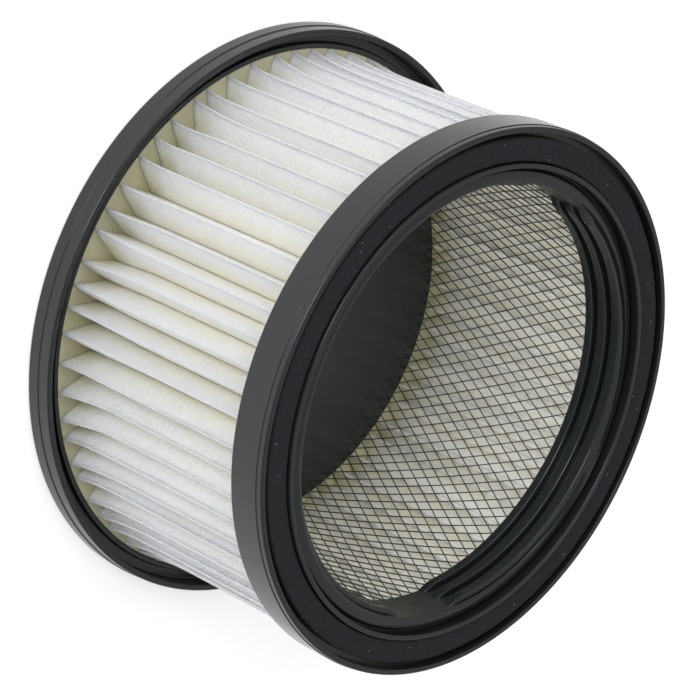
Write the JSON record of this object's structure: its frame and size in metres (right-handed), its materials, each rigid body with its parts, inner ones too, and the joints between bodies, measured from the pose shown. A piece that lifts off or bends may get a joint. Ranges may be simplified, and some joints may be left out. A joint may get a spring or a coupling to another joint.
{
  "type": "vacuum cleaner filter cartridge",
  "caption": "Round pleated filter cartridge for an ash vacuum: threaded open end cap with foam gasket, diamond mesh core and closed end cap.",
  "frame": {"origin": "centre of the closed end cap's underside", "axes": "+Z along the cartridge axis from the closed end to the open, threaded end; the first threaded stretch runs from 30 to 174 degrees from +X towards +Y"},
  "size_m": [0.172, 0.172, 0.088],
  "materials": {
    "cap_plastic": "satin",
    "foam": "matte",
    "filter_paper": "matte",
    "mesh_plastic": "matte",
    "adhesive": "satin"
  },
  "bodies": {
    "root": {"front_cap": "cap_plastic", "gasket": "foam", "front_bond": "adhesive", "pleat_pack": "filter_paper", "support_mesh": "mesh_plastic", "rear_bond": "adhesive", "rear_cap": "cap_plastic"}
  },
  "joints": []
}
